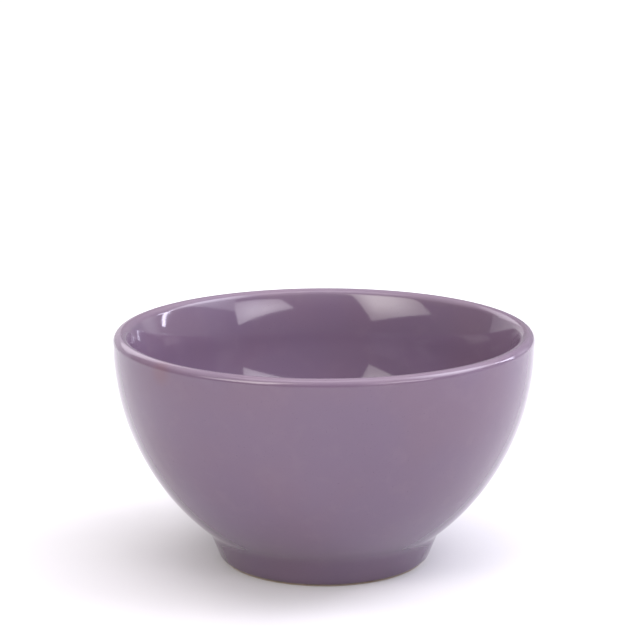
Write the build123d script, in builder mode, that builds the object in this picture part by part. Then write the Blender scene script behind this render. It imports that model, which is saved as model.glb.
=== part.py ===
from build123d import *
from math import cos, radians, sin, sqrt
import os

# Mixing bowl of fired clay on a foot ring, glazed all over except where it stands.
# Millimetres. The axis of the bowl is Z, and it stands on Z = 0.

# Driving dimensions, over the glaze
rim_diameter = 140.0        # outside of the rim
height = 77.8               # ground to the top of the lip
wall_curve = 81.5           # radius of the outer wall, seen in section
upright_height = 74.0       # where the outer wall's curve has become upright
hollow_curve = 72.0         # radius of the inner wall, seen in section
shoulder_curve = 55.0       # radius of the soft shoulder that thins the wall towards the lip
shoulder_lean = 24.0        # degrees that the shoulder leans out where it meets the lip
wall_lean = 8.0             # degrees that the inner wall leans out where the shoulder starts
foot_diameter = 70.0        # outside of the foot, before its edge is rounded
foot_height = 10.2          # where the wall lands on the foot
foot_inner_diameter = 60.0  # inside of the foot, before its edge is rounded
recess_diameter = 57.0      # recess under the base, at its roof
recess_depth = 3.0
floor_height = 8.5          # inside, on the axis
well_diameter = 76.0        # where the floor meets the wall, before the two are blended

# Rounds and blends, over the glaze
lip_outer_round = 2.4       # from the outer wall to the top of the lip
lip_inner_round = 3.0       # from the top of the lip to the shoulder
neck_blend = 10.0           # outside, between the foot and the wall
foot_edge_round = 1.3       # outer edge of the foot
foot_inner_round = 0.9      # inner edge of the foot
recess_blend = 1.8          # round the roof of the recess
well_blend = 40.0           # inside, between the floor and the wall

# Glaze
glaze = 0.4                 # thickness of the coat
wiped_height = 0.5          # the foot is wiped clean of glaze below this


def towards_axis(point, distance, lean):
    """The place that far from a point, square to a wall that leans out by so many degrees."""
    angle = radians(lean)
    return (point[0] - distance * cos(angle), point[1] + distance * sin(angle))


def half_section(depth):
    """Half of the bowl's section at a depth under its glaze, as if its foot were glazed too."""
    ground = depth - glaze
    rim = rim_diameter / 2 - depth
    lip_radius = rim_diameter / 2 - lip_outer_round
    outer_curve = wall_curve - depth
    outer_centre = rim_diameter / 2 - wall_curve
    neck_radius = outer_centre + sqrt(outer_curve**2 - (upright_height - foot_height) ** 2)

    inner_lip_centre = (lip_radius, height - lip_inner_round)
    shoulder_top = towards_axis(inner_lip_centre, lip_inner_round - depth, shoulder_lean)
    shoulder_centre = towards_axis(inner_lip_centre, lip_inner_round - shoulder_curve, shoulder_lean)
    shoulder_foot = towards_axis(shoulder_centre, shoulder_curve - depth, wall_lean)
    hollow_centre = towards_axis(shoulder_centre, shoulder_curve + hollow_curve, wall_lean)
    inner_curve = hollow_curve + depth
    well_radius = well_diameter / 2
    well_height = hollow_centre[1] - sqrt(inner_curve**2 - (well_radius - hollow_centre[0]) ** 2)

    floor = (0, floor_height - depth)
    roof = (0, recess_depth + depth)
    recess_corner = (recess_diameter / 2 + depth, recess_depth + depth)
    foot_inner_edge = (foot_inner_diameter / 2 + depth, ground)
    foot_edge = (foot_diameter / 2 - depth, ground)
    neck = (neck_radius, foot_height)
    well = (well_radius, well_height)
    blends = {
        recess_corner: recess_blend + depth,
        foot_inner_edge: foot_inner_round - depth,
        foot_edge: foot_edge_round - depth,
        neck: neck_blend + depth,
        well: well_blend + depth,
    }

    with BuildSketch(Plane.XZ) as section:
        with BuildLine():
            Polyline(floor, roof, recess_corner, foot_inner_edge, foot_edge, neck)
            RadiusArc(neck, (rim, upright_height), -outer_curve)
            Line((rim, upright_height), (rim, height - lip_outer_round))
            RadiusArc((rim, height - lip_outer_round), (lip_radius, height - depth), depth - lip_outer_round)
            RadiusArc((lip_radius, height - depth), shoulder_top, depth - lip_inner_round)
            RadiusArc(shoulder_top, shoulder_foot, depth - shoulder_curve)
            RadiusArc(shoulder_foot, well, inner_curve)
            TangentArc(floor, well, tangent=(1, 0))
        make_face()
        for corner, radius in blends.items():
            fillet(section.vertices().sort_by_distance(corner)[0], radius)
    return section


clay_section = half_section(glaze)
glazed_section = half_section(0)

# The glaze fills what lies between the two sections, down to where the foot is wiped clean
with BuildSketch(Plane.XZ) as glaze_section:
    add(glazed_section.sketch_local)
    add(clay_section.sketch_local, mode=Mode.SUBTRACT)
    with Locations((0, wiped_height)):
        Rectangle(rim_diameter, 2 * glaze + 2 * wiped_height, align=(Align.MIN, Align.MAX), mode=Mode.SUBTRACT)

recess_skin, bowl_skin = glaze_section.sketch.faces().sort_by(SortBy.AREA)

with BuildPart() as clay_body:
    revolve(clay_section.sketch, axis=Axis.Z)

with BuildPart() as glaze_coat:
    revolve(bowl_skin, axis=Axis.Z)

with BuildPart() as foot_recess_glaze:
    revolve(recess_skin, axis=Axis.Z)

clay_body.part.label = "clay_body"
glaze_coat.part.label = "glaze_coat"
foot_recess_glaze.part.label = "foot_recess_glaze"

os.makedirs("parts", exist_ok=True)
export_step(clay_body.part, "parts/clay_body.step")
export_step(glaze_coat.part, "parts/glaze_coat.step")
export_step(foot_recess_glaze.part, "parts/foot_recess_glaze.step")
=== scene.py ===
from math import atan2, cos, hypot, pi, radians, sin, sqrt, tan

import bpy
from mathutils import Euler, Matrix, Vector


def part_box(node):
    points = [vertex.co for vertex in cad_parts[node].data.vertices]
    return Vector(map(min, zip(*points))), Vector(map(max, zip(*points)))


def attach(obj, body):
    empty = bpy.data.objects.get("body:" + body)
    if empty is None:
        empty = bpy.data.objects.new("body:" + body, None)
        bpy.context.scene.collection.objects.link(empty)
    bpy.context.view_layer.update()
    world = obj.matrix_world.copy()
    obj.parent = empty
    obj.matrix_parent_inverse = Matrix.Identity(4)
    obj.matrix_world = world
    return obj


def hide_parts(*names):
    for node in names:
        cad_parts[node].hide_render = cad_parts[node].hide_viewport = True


# A glazed stoneware mixing bowl on a foot ring, in a small photo studio. The bowl's sizes are millimetres, as
# in its design, and MM turns them into the frame's metres. A section lies in radius and height, and the axis
# of the bowl is Z.
MM = 0.001

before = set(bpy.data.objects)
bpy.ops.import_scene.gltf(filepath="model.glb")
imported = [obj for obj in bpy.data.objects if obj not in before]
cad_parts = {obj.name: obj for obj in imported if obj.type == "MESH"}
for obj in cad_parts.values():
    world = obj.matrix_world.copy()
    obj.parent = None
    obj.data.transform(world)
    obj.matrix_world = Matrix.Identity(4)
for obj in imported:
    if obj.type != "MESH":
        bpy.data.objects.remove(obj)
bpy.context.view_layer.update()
coat_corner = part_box("glaze_coat")[1]

# Outer sizes, from the frame
RIM_RADIUS = coat_corner.x / MM
HEIGHT = coat_corner.z / MM

# Section, over the glaze
WALL_CURVE = 81.5           # outer wall, whose centre is at the height where it stands upright
UPRIGHT_HEIGHT = 74.0
HOLLOW_CURVE = 72.0         # inner wall
WALL_LEAN = 8.0             # degrees that the inner wall leans out at the top of that curve
SHOULDER_CURVE = 55.0       # soft shoulder between the inner wall and the lip
SHOULDER_LEAN = 24.0        # degrees that the shoulder leans out at the lip
LIP_OUTER_ROUND = 2.4
LIP_INNER_ROUND = 3.0
FLOOR_HEIGHT = 8.5
WELL_RADIUS = 38.0          # where the floor meets the inner wall, before they are blended
WELL_BLEND = 40.0
NECK_BLEND = 10.0
FOOT_RADIUS = 35.0
FOOT_HEIGHT = 10.2
FOOT_EDGE_ROUND = 1.3
FOOT_INNER_RADIUS = 30.0
FOOT_INNER_ROUND = 0.9
RECESS_RADIUS = 28.5
RECESS_DEPTH = 3.0
RECESS_BLEND = 1.8

# Glaze
GLAZE = 0.4                 # thickness of the coat
WIPED_HEIGHT = 0.5          # the foot is wiped clean below this
EDGE_LENGTH = 0.7           # the coat thins to nothing over this length at its wiped edge

# Meshes
TURNS = 280                 # steps round the axis
SMALLEST = 1e-6             # a shorter radius counts as none

# Waves in the surface. A round wave has a size, waves to a turn, a phase and a twist for each millimetre of
# height. A rising wave has a size, millimetres of height to a radian, a sway, sways to a turn and a phase.
UNEVENNESS = 0.02           # millimetres for a wave of size 1
ROUND_WAVES = ((1.0, 3, 0.6, 0), (0.8, 5, 2.1, 1 / 30), (0.4, 9, 0, 1 / 9))
RISING_WAVES = ((0.4, 4.4, 1.3, 2, 0), (0.3, 2.9, 2.0, 1, 1))
WAVES_MIDDLE = 3.0          # more than all the waves add up to, so the surface stays inside the true round

# Steps along each stretch of the section
FLOOR_STEPS = 26
WELL_STEPS = 28
HOLLOW_STEPS = 36
SHOULDER_STEPS = 18
LIP_INNER_STEPS = 18
LIP_OUTER_STEPS = 20
UPRIGHT_STEPS = 2
WALL_STEPS = 66
NECK_STEPS = 18
FOOT_STEPS = 8
FOOT_EDGE_STEPS = 10
ROOF_STEPS = 20
RECESS_BLEND_STEPS = 12
RECESS_SIDE_STEPS = 4
INNER_EDGE_STEPS = 8
UNDERSIDE_STRIDE = 3        # the coat's hidden side keeps one point in so many


# Section

def arc(centre, radius, start, end, count):
    """Points of an arc round a centre, the short way from one place to another, without its last point."""
    first = atan2(start[1] - centre[1], start[0] - centre[0])
    turn = atan2(end[1] - centre[1], end[0] - centre[0]) - first
    turn = (turn + pi) % (2 * pi) - pi
    angles = [first + turn * i / count for i in range(count)]
    return [(centre[0] + radius * cos(a), centre[1] + radius * sin(a)) for a in angles]


def line(start, end, count):
    """Points of a straight run, without its last point."""
    shares = [i / count for i in range(count)]
    return [(start[0] + (end[0] - start[0]) * s, start[1] + (end[1] - start[1]) * s) for s in shares]


def unit(start, end):
    """Direction from one point to another."""
    length = hypot(end[0] - start[0], end[1] - start[1])
    return ((end[0] - start[0]) / length, (end[1] - start[1]) / length)


def moved(point, direction, distance):
    """The place that far from a point along a direction."""
    return (point[0] + direction[0] * distance, point[1] + direction[1] * distance)


def square_to(lean):
    """Direction towards the axis, square to a wall that leans out by so many degrees."""
    return (-cos(radians(lean)), sin(radians(lean)))


def corner_round(before, corner, after, radius):
    """Start, centre and end of the round that softens a corner between two straight runs."""
    back = unit(corner, before)
    ahead = unit(corner, after)
    across = abs(back[0] * ahead[1] - back[1] * ahead[0])
    half_angle = atan2(across, back[0] * ahead[0] + back[1] * ahead[1]) / 2
    reach = radius / tan(half_angle)
    middle = unit((0, 0), (back[0] + ahead[0], back[1] + ahead[1]))
    centre = moved(corner, middle, radius / sin(half_angle))
    return moved(corner, back, reach), centre, moved(corner, ahead, reach)


def circles_meet(first, first_radius, second, second_radius):
    """Where two circles cross, on the left of the way from the first centre to the second."""
    apart = hypot(second[0] - first[0], second[1] - first[1])
    along = (first_radius**2 - second_radius**2 + apart**2) / (2 * apart)
    aside = sqrt(first_radius**2 - along**2)
    direction = unit(first, second)
    return moved(moved(first, direction, along), (-direction[1], direction[0]), aside)


def line_meets_circle(point, direction, centre, radius):
    """Where a line crosses a circle, at the first crossing along the line."""
    away = (point[0] - centre[0], point[1] - centre[1])
    along = away[0] * direction[0] + away[1] * direction[1]
    reach = sqrt(along**2 - away[0]**2 - away[1]**2 + radius**2)
    return moved(point, direction, -along - reach)


def hollow_side(depth):
    """The inner side at a depth under the glaze: from the floor, on the axis, to the top of the lip."""
    lip_centre = (RIM_RADIUS - LIP_OUTER_ROUND, HEIGHT - LIP_INNER_ROUND)
    lip_top = (lip_centre[0], HEIGHT - depth)
    shoulder_top = moved(lip_centre, square_to(SHOULDER_LEAN), LIP_INNER_ROUND - depth)
    shoulder_centre = moved(lip_centre, square_to(SHOULDER_LEAN), LIP_INNER_ROUND - SHOULDER_CURVE)
    shoulder_foot = moved(shoulder_centre, square_to(WALL_LEAN), SHOULDER_CURVE - depth)
    hollow_centre = moved(shoulder_centre, square_to(WALL_LEAN), SHOULDER_CURVE + HOLLOW_CURVE)
    hollow_curve = HOLLOW_CURVE + depth
    well_height = hollow_centre[1] - sqrt(hollow_curve**2 - (WELL_RADIUS - hollow_centre[0])**2)
    floor = (0, FLOOR_HEIGHT - depth)
    floor_curve = (WELL_RADIUS**2 + (well_height - floor[1])**2) / (2 * (well_height - floor[1]))
    floor_centre = (0, floor[1] + floor_curve)
    blend = WELL_BLEND + depth
    blend_centre = circles_meet(floor_centre, floor_curve - blend, hollow_centre, hollow_curve - blend)
    floor_end = moved(floor_centre, unit(floor_centre, blend_centre), floor_curve)
    wall_start = moved(hollow_centre, unit(hollow_centre, blend_centre), hollow_curve)
    return (
        arc(floor_centre, floor_curve, floor, floor_end, FLOOR_STEPS)
        + arc(blend_centre, blend, floor_end, wall_start, WELL_STEPS)
        + arc(hollow_centre, hollow_curve, wall_start, shoulder_foot, HOLLOW_STEPS)
        + arc(shoulder_centre, SHOULDER_CURVE - depth, shoulder_foot, shoulder_top, SHOULDER_STEPS)
        + arc(lip_centre, LIP_INNER_ROUND - depth, shoulder_top, lip_top, LIP_INNER_STEPS)
    )


def outer_side(depth):
    """The outer side at a depth under the glaze: from the top of the lip to the ground under the foot."""
    rim = RIM_RADIUS - depth
    lip_centre = (RIM_RADIUS - LIP_OUTER_ROUND, HEIGHT - LIP_OUTER_ROUND)
    lip_top = (lip_centre[0], HEIGHT - depth)
    lip_foot = (rim, lip_centre[1])
    upright = (rim, UPRIGHT_HEIGHT)
    wall_centre = (RIM_RADIUS - WALL_CURVE, UPRIGHT_HEIGHT)
    wall_curve = WALL_CURVE - depth
    neck = (wall_centre[0] + sqrt(wall_curve**2 - (UPRIGHT_HEIGHT - FOOT_HEIGHT)**2), FOOT_HEIGHT)
    foot_edge = (FOOT_RADIUS - depth, depth - GLAZE)
    up_foot = unit(foot_edge, neck)
    off_foot = (up_foot[1], -up_foot[0])
    blend = NECK_BLEND + depth
    beside_foot = moved(foot_edge, off_foot, blend)
    neck_centre = line_meets_circle(beside_foot, up_foot, wall_centre, wall_curve + blend)
    wall_end = moved(wall_centre, unit(wall_centre, neck_centre), wall_curve)
    foot_top = moved(neck_centre, off_foot, -blend)
    edge_round = FOOT_EDGE_ROUND - depth
    edge_start, edge_centre, edge_end = corner_round(neck, foot_edge, (0, foot_edge[1]), edge_round)
    return (
        arc(lip_centre, LIP_OUTER_ROUND - depth, lip_top, lip_foot, LIP_OUTER_STEPS)
        + line(lip_foot, upright, UPRIGHT_STEPS)
        + arc(wall_centre, wall_curve, upright, wall_end, WALL_STEPS)
        + arc(neck_centre, blend, wall_end, foot_top, NECK_STEPS)
        + line(foot_top, edge_start, FOOT_STEPS)
        + arc(edge_centre, edge_round, edge_start, edge_end, FOOT_EDGE_STEPS)
        + [edge_end]
    )


def recess_side(depth):
    """The underside at a depth under the glaze: from the recess's roof, on the axis, to the ground."""
    edge = (FOOT_INNER_RADIUS + depth, depth - GLAZE)
    corner = (RECESS_RADIUS + depth, RECESS_DEPTH + depth)
    roof = (0, corner[1])
    blend = RECESS_BLEND + depth
    edge_round = FOOT_INNER_ROUND - depth
    roof_end, corner_centre, side_start = corner_round(roof, corner, edge, blend)
    side_end, edge_centre, ring_start = corner_round(corner, edge, (FOOT_RADIUS, edge[1]), edge_round)
    return (
        line(roof, roof_end, ROOF_STEPS)
        + arc(corner_centre, blend, roof_end, side_start, RECESS_BLEND_STEPS)
        + line(side_start, side_end, RECESS_SIDE_STEPS)
        + arc(edge_centre, edge_round, side_end, ring_start, INNER_EDGE_STEPS)
        + [ring_start]
    )


def coat_outline(side):
    """Outline of the coat over one side of the clay. Its surface comes down to the clay in a soft round edge
    where the foot is wiped clean."""
    over = side(0)
    under = side(GLAZE)
    glazed = [i for i, point in enumerate(under) if point[1] >= WIPED_HEIGHT]
    over = over[:glazed[-1] + 1]
    under = under[:glazed[-1] + 1]
    surface = []
    for outer, inner in zip(over, under):
        near = min(1.0, hypot(inner[0] - under[-1][0], inner[1] - under[-1][1]) / EDGE_LENGTH)
        cover = sqrt(1 - (1 - near)**2)
        surface.append(moved(inner, (outer[0] - inner[0], outer[1] - inner[1]), cover))
    return surface + under[-2:0:-UNDERSIDE_STRIDE] + [under[0]]


# Meshes

def waver(angle, height):
    """How far the surface lies inside a true round, in millimetres: a pressed bowl is never quite even."""
    waves = WAVES_MIDDLE
    for size, count, phase, twist in ROUND_WAVES:
        waves += size * sin(count * angle + phase + twist * height)
    for size, rise, sway, count, phase in RISING_WAVES:
        waves += size * sin(height / rise + sway * sin(count * angle + phase))
    return UNEVENNESS * waves


def lathe(name, outline):
    """A solid of revolution round Z from an outline that starts and ends on the axis."""
    vertices = []
    rows = []
    for radius, height in outline:
        around = TURNS if radius > SMALLEST else 1
        rows.append(range(len(vertices), len(vertices) + around))
        for i in range(around):
            angle = 2 * pi * i / TURNS
            inside = max(0.0, radius - waver(angle, height) * min(1.0, radius / FOOT_RADIUS))
            vertices.append((inside * cos(angle) * MM, inside * sin(angle) * MM, height * MM))
    faces = []
    for low, high in zip(rows, rows[1:]):
        for i in range(TURNS):
            ahead = i + 1
            corners = (low[i % len(low)], low[ahead % len(low)], high[ahead % len(high)], high[i % len(high)])
            faces.append(tuple(dict.fromkeys(corners)))
    mesh = bpy.data.meshes.new(name)
    mesh.from_pydata(vertices, [], faces)
    mesh.shade_smooth()
    piece = bpy.data.objects.new(name, mesh)
    bpy.context.scene.collection.objects.link(piece)
    return piece


# Materials

def new_material(name):
    """An empty node material, with its tree and its Principled shader."""
    material = bpy.data.materials.new(name)
    material.use_nodes = True
    return material, material.node_tree, material.node_tree.nodes["Principled BSDF"]


def add(tree, kind, values=(), **settings):
    """A node with its settings. Its inputs take plain values or other nodes' outputs, by name or number."""
    node = tree.nodes.new("ShaderNode" + kind)
    for setting, value in settings.items():
        setattr(node, setting, value)
    for key, value in dict(values).items():
        if isinstance(value, bpy.types.NodeSocket):
            tree.links.new(value, node.inputs[key])
        else:
            node.inputs[key].default_value = value
    return node


def noise(tree, place, size, detail):
    """Noise from 0 to 1, mostly near the middle, whose features are about a size across, in millimetres."""
    values = {"Vector": place, "Scale": 1 / (size * MM), "Detail": detail}
    return add(tree, "TexNoise", values).outputs["Fac"]


def span(tree, value, low, high, start, end):
    """A smooth step from start to end as a value goes from low to high."""
    values = {"Value": value, "From Min": low, "From Max": high, "To Min": start, "To Max": end}
    return add(tree, "MapRange", values, interpolation_type="SMOOTHSTEP").outputs["Result"]


def pattern(tree, place, size, detail, low, high, start, end):
    """A value that goes smoothly from start to end, between a low and a high level of noise."""
    return span(tree, noise(tree, place, size, detail), low, high, start, end)


def maths(tree, operation, first, second):
    """A sum, product or other result of two values."""
    return add(tree, "Math", {0: first, 1: second}, operation=operation).outputs["Value"]


def mix(tree, share, first, second):
    """The first colour with a share of the second in it. A Mix node has its colours at 6 and 7, and gives the
    mixed one at 2."""
    return add(tree, "Mix", {0: share, 6: first, 7: second}, data_type="RGBA").outputs[2]


def place_on_piece(tree):
    """Place on the piece in metres, and its height and its distance from the bowl's axis."""
    place = add(tree, "TexCoord").outputs["Object"]
    parts = add(tree, "SeparateXYZ", {"Vector": place})
    flat = add(tree, "CombineXYZ", {"X": parts.outputs["X"], "Y": parts.outputs["Y"]})
    radius = add(tree, "VectorMath", {0: flat.outputs["Vector"]}, operation="LENGTH").outputs["Value"]
    return place, parts.outputs["Z"], radius


# Glaze colours
LILAC = (0.156, 0.104, 0.156, 1.0)       # full thickness
BLUER_LILAC = (0.150, 0.103, 0.162, 1.0)
THIN_LILAC = (0.215, 0.155, 0.200, 1.0)  # thin over the pale clay, at the lip
BLUSH = (0.165, 0.092, 0.120, 1.0)       # a reddish patch just under the lip
FOOT_SHADE_LILAC = (0.105, 0.068, 0.096, 1.0)  # painted shade, on the foot and in the neck above it
SPECK = (0.090, 0.058, 0.082, 1.0)
BLUSH_PLACE = (-51.0 * MM, -48.0 * MM, 75.0 * MM)

# Patterns in the glaze: size in millimetres, detail, the two levels of noise between which the pattern
# changes, and what it gives at them
CLOUDS = (38.0, 2.0, 0.35, 0.65, 0.0, 1.0)
MOTTLE = (6.0, 3.0, 0.5, 0.75, 0.0, 0.10)
SPECKS = (0.55, 1.0, 0.70, 0.78, 0.0, 0.35)
DRIFT = (22.0, 2.0, 0.3, 0.7, -1.2 * MM, 1.0 * MM)  # metres that the lip's and the foot's colours stray by
SHEEN = (15.0, 3.0, 0.35, 0.7, 0.05, 0.10)          # roughness
RIPPLES = (5.0, 1.0)                                # only size and detail

# Ramps in the glaze: the two places between which each changes, and what it gives at them
LIP_THINNING = ((HEIGHT - 2.6) * MM, (HEIGHT - 0.2) * MM, 0.0, 0.3)  # by height
# The next ramp places the painted shade on the foot and in the neck above it
FOOT_SHADE_RAMP = (7.0 * MM, 15.0 * MM, 0.15, 0.0)                         # by height
OUTER_FACE = (31.0 * MM, 33.0 * MM, 0.0, 1.0)                        # by distance from the axis
BLUSH_FADE = (1.0 * MM, 6.0 * MM, 0.6, 0.0)                          # by distance from BLUSH_PLACE
PIT_SLOPE = (0.008, 0.022, 0.0, 1.0)                                 # by distance from a pit, in spacings

GLAZE_IOR = 1.52
RIPPLE_DEPTH = 0.008
PIT_SPACING = 9.0
PIT_DEPTH = 0.05


def glaze_material():
    """Glossy opaque glaze: clouded colour, thin and paler on the lip, painted shade darkening the foot and
    the neck, faint specks and a blush, and a skin with slight ripples and a few pinholes."""
    material, tree, shader = new_material("lilac_glaze")
    place, height, radius = place_on_piece(tree)
    colour = mix(tree, pattern(tree, place, *CLOUDS), LILAC, BLUER_LILAC)
    colour = mix(tree, pattern(tree, place, *MOTTLE), colour, THIN_LILAC)
    drifted = maths(tree, "ADD", height, pattern(tree, place, *DRIFT))
    colour = mix(tree, span(tree, drifted, *LIP_THINNING), colour, THIN_LILAC)
    # Painted shade: a darker lilac mixed onto the foot and into the neck above it
    foot_shade = maths(tree, "MULTIPLY", span(tree, drifted, *FOOT_SHADE_RAMP), span(tree, radius, *OUTER_FACE))
    colour = mix(tree, foot_shade, colour, FOOT_SHADE_LILAC)
    from_blush = add(tree, "VectorMath", {0: place, 1: BLUSH_PLACE}, operation="DISTANCE").outputs["Value"]
    colour = mix(tree, span(tree, from_blush, *BLUSH_FADE), colour, BLUSH)
    colour = mix(tree, pattern(tree, place, *SPECKS), colour, SPECK)
    tree.links.new(colour, shader.inputs["Base Color"])
    tree.links.new(pattern(tree, place, *SHEEN), shader.inputs["Roughness"])
    shader.inputs["IOR"].default_value = GLAZE_IOR

    ripples = noise(tree, place, *RIPPLES)
    rippled = add(tree, "Bump", {"Height": ripples, "Distance": RIPPLE_DEPTH * MM}).outputs["Normal"]
    from_pit = add(tree, "TexVoronoi", {"Vector": place, "Scale": 1 / (PIT_SPACING * MM)}).outputs["Distance"]
    pits = span(tree, from_pit, *PIT_SLOPE)
    pitted = add(tree, "Bump", {"Height": pits, "Distance": PIT_DEPTH * MM, "Normal": rippled})
    tree.links.new(pitted.outputs["Normal"], shader.inputs["Normal"])
    return material


# Clay colours
STONEWARE = (0.58, 0.51, 0.43, 1.0)
TOASTED = (0.36, 0.26, 0.19, 1.0)        # where the glaze has drawn iron to its edge
GROG_DARK = (0.30, 0.21, 0.15, 1.0)
GROG_PALE = (0.74, 0.67, 0.58, 1.0)

# Patterns in the clay, as in the glaze
BODY_CLOUDS = (5.0, 3.0, 0.35, 0.65, 0.0, 0.35)
DARK_SPECKS = (0.5, 1.0, 0.60, 0.68, 0.0, 0.7)
PALE_SPECKS = (0.8, 1.0, 0.62, 0.70, 0.0, 0.6)
DRYNESS = (2.0, 2.0, 0.3, 0.7, 0.75, 0.92)          # roughness
GRAIN = (0.35, 3.0)                                 # only size and detail
TOASTING = (0.1 * MM, 0.5 * MM, 0.0, 0.7)           # a ramp by height
GRAIN_DEPTH = 0.05


def clay_material():
    """Bare fired clay: a dry, slightly gritty body with grog in it, toasted along the glaze line."""
    material, tree, shader = new_material("fired_stoneware")
    place, height, _ = place_on_piece(tree)
    colour = mix(tree, pattern(tree, place, *BODY_CLOUDS), STONEWARE, TOASTED)
    colour = mix(tree, pattern(tree, place, *DARK_SPECKS), colour, GROG_DARK)
    colour = mix(tree, pattern(tree, place, *PALE_SPECKS), colour, GROG_PALE)
    colour = mix(tree, span(tree, height, *TOASTING), colour, TOASTED)
    tree.links.new(colour, shader.inputs["Base Color"])
    tree.links.new(pattern(tree, place, *DRYNESS), shader.inputs["Roughness"])
    bump = add(tree, "Bump", {"Height": noise(tree, place, *GRAIN), "Distance": GRAIN_DEPTH * MM})
    tree.links.new(bump.outputs["Normal"], shader.inputs["Normal"])
    return material


# Floor colours
FLOOR_PALE = (0.72, 0.72, 0.725, 1.0)
FLOOR_PALER = (0.74, 0.74, 0.74, 1.0)
FLOOR_FAR_PAINTED_LIGHT = (0.92, 0.92, 0.92, 1.0)      # painted light, well away from the bowl
FLOOR_CLOUDS = (60.0, 2.0, 0.3, 0.7, 0.0, 1.0)
# The next ramp places the painted light that whitens the paper far from the bowl
PAINTED_LIGHT_FAR_AWAY = (0.4, 1.6, 0.0, 1.0)          # a ramp by distance from the bowl's axis, in metres
PAPER_ROUGHNESS = 0.9
PAPER_SHINE = 0.1


def floor_material():
    """Matt paper, painted whiter away from the bowl as painted light."""
    material, tree, shader = new_material("studio_floor")
    place, _, radius = place_on_piece(tree)
    colour = mix(tree, pattern(tree, place, *FLOOR_CLOUDS), FLOOR_PALE, FLOOR_PALER)
    # Painted light: the paper turns whiter away from the bowl
    colour = mix(tree, span(tree, radius, *PAINTED_LIGHT_FAR_AWAY), colour, FLOOR_FAR_PAINTED_LIGHT)
    tree.links.new(colour, shader.inputs["Base Color"])
    shader.inputs["Roughness"].default_value = PAPER_ROUGHNESS
    shader.inputs["Specular IOR Level"].default_value = PAPER_SHINE
    return material


# Pieces

def add_piece(name, outline, material, slot, *nodes):
    """A piece of the bowl in place of CAD nodes."""
    piece = lathe(name, outline)
    piece.data.materials.append(material)
    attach(piece, "root")
    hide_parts(*nodes)


def upper_side(depth):
    """The inner and outer sides together, from the floor over the lip to the ground."""
    return hollow_side(depth) + outer_side(depth)


glaze = glaze_material()
clay_outline = upper_side(GLAZE) + recess_side(GLAZE)[::-1]
add_piece("bowl_clay", clay_outline, clay_material(), "fired_clay", "clay_body")
add_piece("bowl_glaze", coat_outline(upper_side), glaze, "glaze", "glaze_coat")
add_piece("recess_glaze", coat_outline(recess_side), glaze, "glaze", "foot_recess_glaze")


# Studio

FLOOR_SIZE = 12.0           # metres
SOFTBOX_RAMP = (0.1, 1.3)   # where its light fades, with the middle of an edge at 1 and a corner at 1.4
BOWL_MIDDLE = Vector((0, 0, HEIGHT * MM / 2))


def way(azimuth, elevation):
    """Direction from the bowl. Azimuth is 0 along +Y and 90 along +X."""
    flat = cos(radians(elevation))
    return Vector((sin(radians(azimuth)) * flat, cos(radians(azimuth)) * flat, sin(radians(elevation))))


def softbox(name, corners, radiance, tint, edge):
    """A lit panel that the camera doesn't see, brightest in its middle and down to a share of that at its
    edge."""
    mesh = bpy.data.meshes.new(name)
    places = [way(azimuth, elevation) * distance + BOWL_MIDDLE for azimuth, elevation, distance in corners]
    mesh.from_pydata(places, [], [(0, 1, 2, 3)])
    spread = mesh.uv_layers.new(name="spread")
    for loop, corner in enumerate(((-1, -1), (1, -1), (1, 1), (-1, 1))):
        spread.data[loop].uv = corner
    material = bpy.data.materials.new(name)
    material.use_nodes = True
    tree = material.node_tree
    tree.nodes.remove(tree.nodes["Principled BSDF"])
    across = add(tree, "TexCoord").outputs["UV"]
    from_middle = add(tree, "VectorMath", {0: across}, operation="LENGTH").outputs["Value"]
    glow = span(tree, from_middle, *SOFTBOX_RAMP, radiance, radiance * edge)
    emission = add(tree, "Emission", {"Color": (*tint, 1.0), "Strength": glow})
    tree.links.new(emission.outputs["Emission"], tree.nodes["Material Output"].inputs["Surface"])
    mesh.materials.append(material)
    panel = bpy.data.objects.new(name, mesh)
    bpy.context.scene.collection.objects.link(panel)
    panel.visible_camera = False


def studio_floor():
    """A wide sheet of paper under the bowl."""
    half = FLOOR_SIZE / 2
    corners = [(-half, -half, 0), (half, -half, 0), (half, half, 0), (-half, half, 0)]
    mesh = bpy.data.meshes.new("studio_floor")
    mesh.from_pydata(corners, [], [(0, 1, 2, 3)])
    mesh.materials.append(floor_material())
    floor = bpy.data.objects.new("studio_floor", mesh)
    bpy.context.scene.collection.objects.link(floor)


# Room: colours times radiance
WALLS_FRONT = (0.10, 0.10, 0.11, 1.0)    # behind the camera
WALLS_LEFT = (0.26, 0.25, 0.24, 1.0)
WALLS_RIGHT = (0.60, 0.61, 0.66, 1.0)
CEILING_LEFT = (1.26, 1.23, 1.26, 1.0)
CEILING_RIGHT = (1.72, 1.70, 1.78, 1.0)

# Ramps in the room, by a part of the direction: the two places between which each changes, and what it gives
# at them
RIGHTWARD = (-0.6, 0.9, 0.0, 1.0)        # along X
FRONTWARD = (-0.6, -0.1, 0.7, 0.0)       # along Y
UPWARD = (0.40, 0.80, 0.0, 1.0)          # along Z


def surroundings():
    """A dim room, lighter on its right and darker behind the camera, under a wide bright ceiling."""
    world = bpy.data.worlds.new("studio")
    world.use_nodes = True
    bpy.context.scene.world = world
    tree = world.node_tree
    parts = add(tree, "SeparateXYZ", {"Vector": add(tree, "TexCoord").outputs["Generated"]})
    rightward = span(tree, parts.outputs["X"], *RIGHTWARD)
    walls = mix(tree, rightward, WALLS_LEFT, WALLS_RIGHT)
    walls = mix(tree, span(tree, parts.outputs["Y"], *FRONTWARD), walls, WALLS_FRONT)
    ceiling = mix(tree, rightward, CEILING_LEFT, CEILING_RIGHT)
    colour = mix(tree, span(tree, parts.outputs["Z"], *UPWARD), walls, ceiling)
    tree.links.new(colour, tree.nodes["Background"].inputs["Color"])


# Tints of the lights
WARM = (1.0, 0.95, 0.93)
NEUTRAL = (1.0, 0.95, 1.02)
COOL = (0.96, 0.95, 1.05)
BLUISH = (0.95, 0.92, 1.12)

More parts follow.
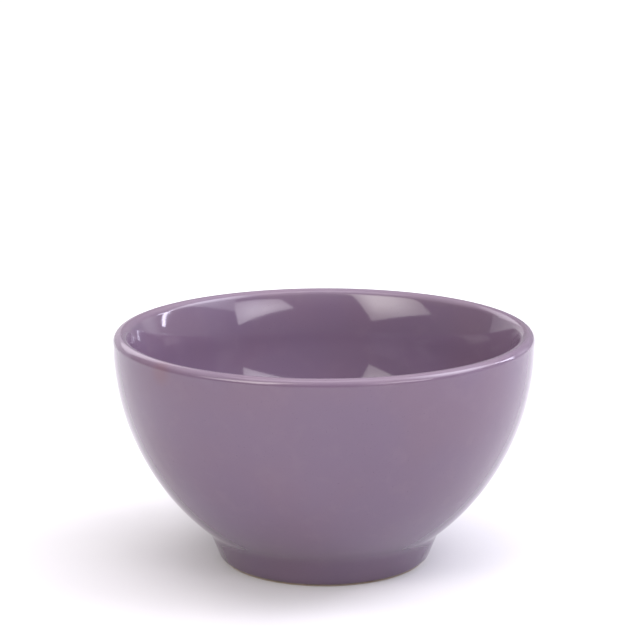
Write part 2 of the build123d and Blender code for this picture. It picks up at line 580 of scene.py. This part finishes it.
# Lights and reflectors. Each has four corners, as an azimuth, an elevation and a distance in metres from the
# bowl's middle, then its radiance, its tint, and the share of the radiance that is left at its edge.
LIGHTS = {
    "left_softbox": (
        ((-148, 17.2, 1.3), (-105, 21.5, 1.3), (-138, 50, 1.4), (-171, 50, 1.4)), 7.8, WARM, 0.36),
    "right_softbox": (
        ((122, 14, 1.9), (160, 27, 1.9), (150, 34, 1.9), (117.5, 30, 1.9)), 6.8, NEUTRAL, 0.6),
    "window": (
        ((60, 22, 1.9), (118.5, 24, 1.9), (125, 68, 2.0), (60, 68, 2.0)), 8.0, COOL, 0.25),
    "window_edge": (
        ((58.7, 11, 1.5), (61.5, 11, 1.5), (70.5, 28, 1.5), (66, 28, 1.5)), 13.0, BLUISH, 1.0),
    "window_top": (
        ((54, 18, 1.5), (68, 18.5, 1.5), (68, 23.5, 1.5), (54, 23.5, 1.5)), 10.0, BLUISH, 0.6),
    "right_reflector": (
        ((38, 4, 1.9), (56, 4, 1.9), (56, 20, 1.9), (38, 22, 1.9)), 1.4, COOL, 0.6),
    "left_reflector": (
        ((-46, 17, 1.9), (-8, 17, 1.9), (-14, 40, 1.9), (-44, 40, 1.9)), 2.5, NEUTRAL, 0.7),
    "left_wall": (
        ((-55, -0.4, 4.5), (-5, -0.4, 4.5), (-5, 17, 4.5), (-55, 17, 4.5)), 1.0, NEUTRAL, 0.8),
    "overhead": (
        ((-118, 60.5, 1.95), (118, 60.5, 1.95), (68, 61.5, 1.95), (-68, 61.5, 1.95)), 3.8, NEUTRAL, 0.8),
}

studio_floor()
surroundings()
for light, settings in LIGHTS.items():
    softbox(light, *settings)


# Camera: lengths in millimetres and angles in degrees
CAMERA_DISTANCE = 720.0
CAMERA_ELEVATION = 15.856
CAMERA_AIM = 38.0           # the distance is measured from this height on the axis
CAMERA_PITCH = 12.380
CAMERA_YAW = -0.245
CAMERA_ROLL = -0.152
LENS = 122.04
SENSOR_WIDTH = 36.0


def add_camera():
    """The camera, on the -Y side of the bowl."""
    data = bpy.data.cameras.new("camera")
    data.sensor_width = SENSOR_WIDTH
    data.lens = LENS
    camera = bpy.data.objects.new("camera", data)
    bpy.context.scene.collection.objects.link(camera)
    place = way(180, CAMERA_ELEVATION) * CAMERA_DISTANCE * MM + Vector((0, 0, CAMERA_AIM * MM))
    turn = Euler((radians(90 - CAMERA_PITCH), 0, radians(-CAMERA_YAW))).to_matrix()
    roll = Matrix.Rotation(radians(CAMERA_ROLL), 3, "Z")
    camera.matrix_world = Matrix.Translation(place) @ (turn @ roll).to_4x4()
    bpy.context.scene.camera = camera


add_camera()
bpy.context.scene.view_settings.view_transform = "Standard"
